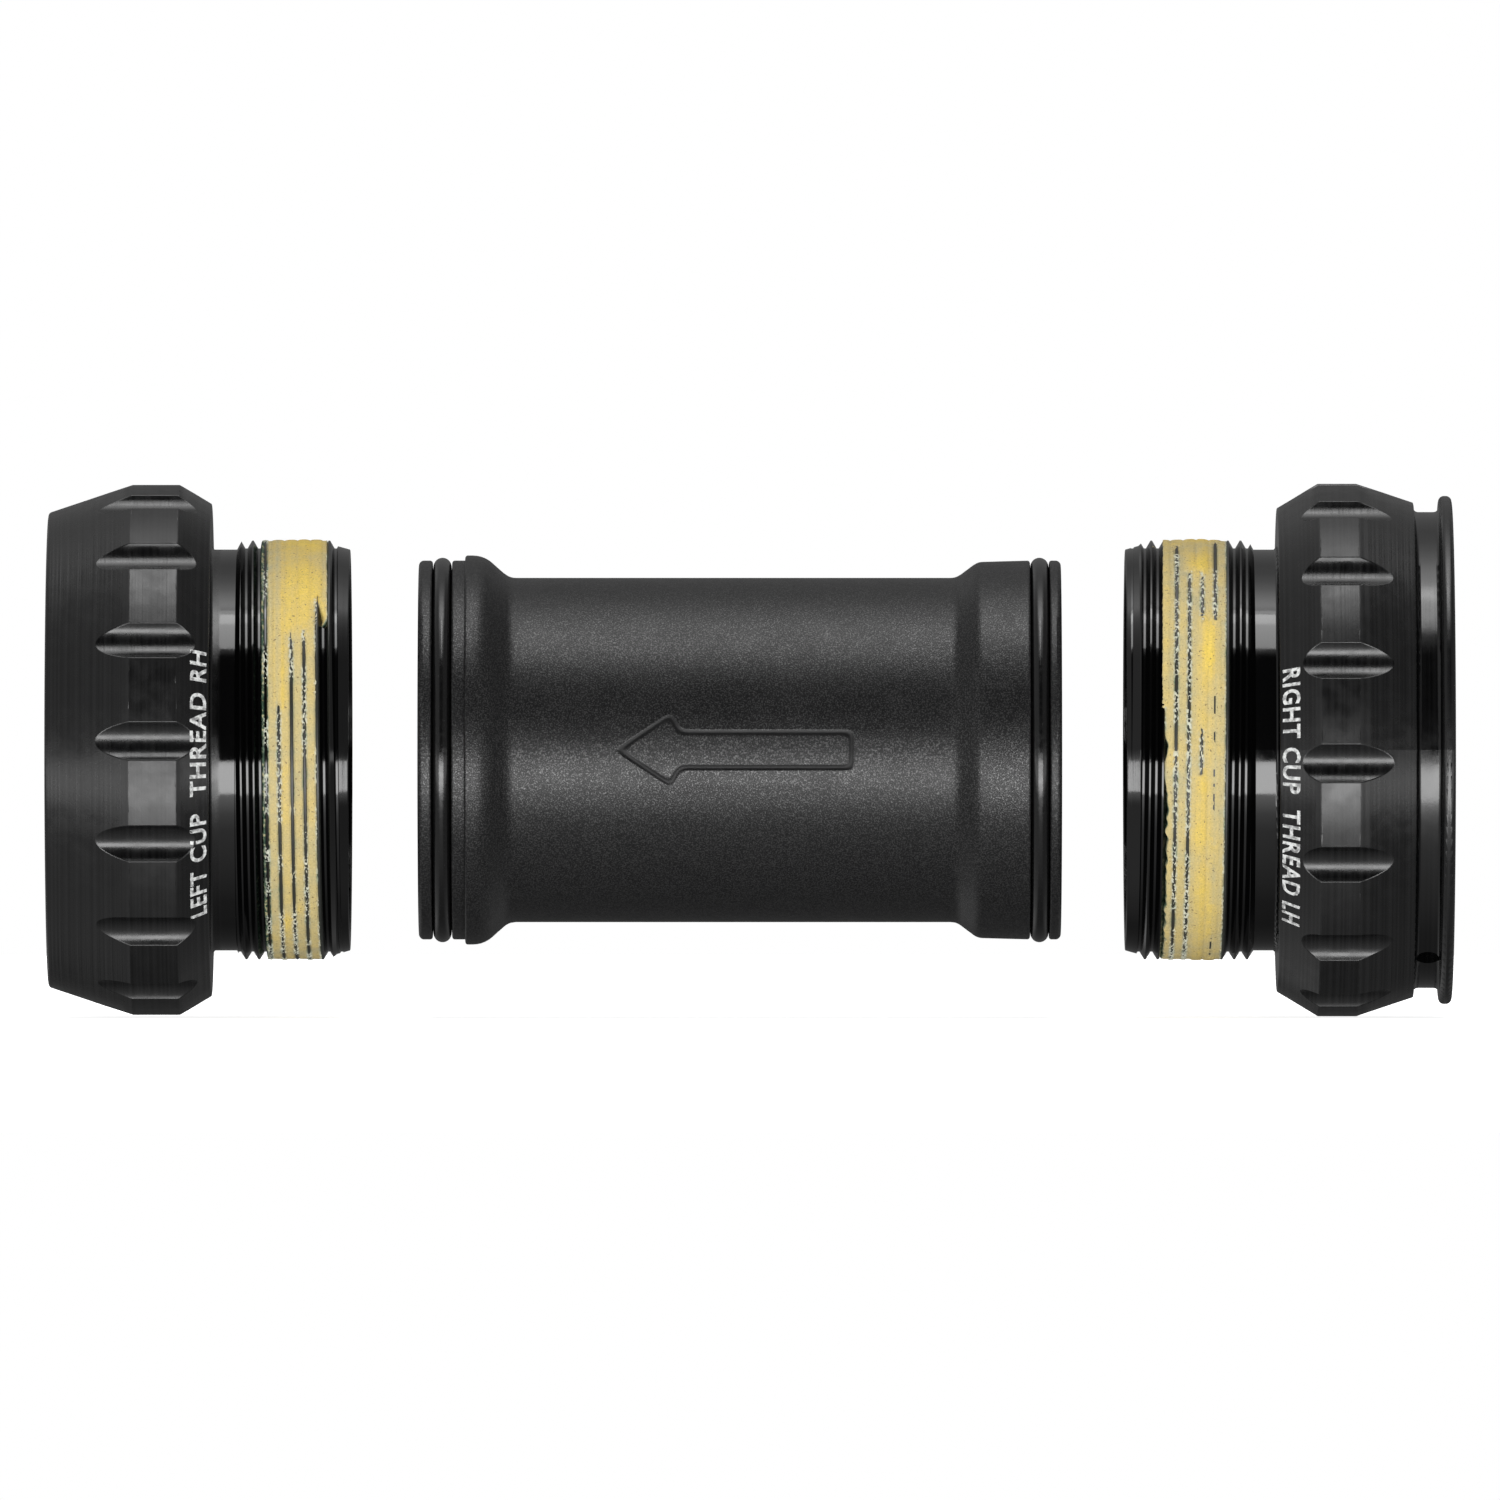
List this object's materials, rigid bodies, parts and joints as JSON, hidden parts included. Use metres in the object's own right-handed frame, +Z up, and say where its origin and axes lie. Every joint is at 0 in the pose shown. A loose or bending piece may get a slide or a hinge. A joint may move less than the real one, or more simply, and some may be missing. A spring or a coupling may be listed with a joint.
{
  "type": "bottom bracket",
  "caption": "Threaded external-cup bottom bracket laid out on its axis: notched black cups with cartridge bearings either side of a tubular inner sleeve with O-rings.",
  "frame": {"origin": "on the crank axis, midway between the outer faces of the two cups as laid out", "axes": "+X along the crank axis towards the drive side, +Y forward on the bicycle, +Z up"},
  "size_m": [0.1164, 0.0442, 0.0442],
  "materials": {
    "black_anodised": "gloss black anodised, turned",
    "moulded_grey": "fine moulded grain",
    "o_ring_rubber": "smooth",
    "dried_compound": "dried, uneven",
    "bearing_steel": "ground",
    "polished_steel": "polished",
    "cage_nylon": "moulded",
    "seal_rubber": "satin",
    "spring_steel": "rolled",
    "white_mark": "laser-etched marking"
  },
  "bodies": {
    "sleeve": {"centre_sleeve": "moulded_grey", "left_sleeve_o_ring": "o_ring_rubber", "right_sleeve_o_ring": "o_ring_rubber"},
    "left_cup": {"left_cup": "black_anodised", "left_thread_compound": "dried_compound", "left_bearing_outer_race": "bearing_steel", "left_bearing_outboard_seal": "seal_rubber", "left_bearing_inboard_seal": "seal_rubber", "left_wave_washer": "spring_steel", "left_dust_seal": "seal_rubber"},
    "right_cup": {"right_cup": "black_anodised", "right_thread_compound": "dried_compound", "right_bearing_outer_race": "bearing_steel", "right_bearing_outboard_seal": "seal_rubber", "right_bearing_inboard_seal": "seal_rubber", "right_dust_seal": "seal_rubber"},
    "left_inner_race": {"left_bearing_inner_race": "bearing_steel"},
    "right_inner_race": {"right_bearing_inner_race": "bearing_steel"},
    "left_ball_train": {"left_bearing_balls": "polished_steel", "left_bearing_cage": "cage_nylon"},
    "right_ball_train": {"right_bearing_balls": "polished_steel", "right_bearing_cage": "cage_nylon"}
  },
  "joints": [
    {"name": "left_cup_slide", "type": "slide", "parent": "sleeve", "child": "left_cup", "axis": [1, 0, 0], "range_m": [0, 0.0095]},
    {"name": "right_cup_slide", "type": "slide", "parent": "sleeve", "child": "right_cup", "axis": [-1, 0, 0], "range_m": [0, 0.01094]},
    {"name": "left_race_spin", "type": "hinge", "parent": "left_cup", "child": "left_inner_race", "pos_m": [-0.05314, 0, 0], "axis": [1, 0, 0], "continuous": true},
    {"name": "left_cage_roll", "type": "hinge", "parent": "left_cup", "child": "left_ball_train", "pos_m": [-0.05314, 0, 0], "axis": [1, 0, 0], "continuous": true},
    {"name": "right_race_spin", "type": "hinge", "parent": "right_cup", "child": "right_inner_race", "pos_m": [0.05189, 0, 0], "axis": [1, 0, 0], "continuous": true},
    {"name": "right_cage_roll", "type": "hinge", "parent": "right_cup", "child": "right_ball_train", "pos_m": [0.05189, 0, 0], "axis": [1, 0, 0], "continuous": true}
  ],
  "couplings": [
    {"joint": "left_cage_roll", "follows": "left_race_spin", "ratio": 0.44879},
    {"joint": "right_cage_roll", "follows": "right_race_spin", "ratio": 0.44879}
  ]
}
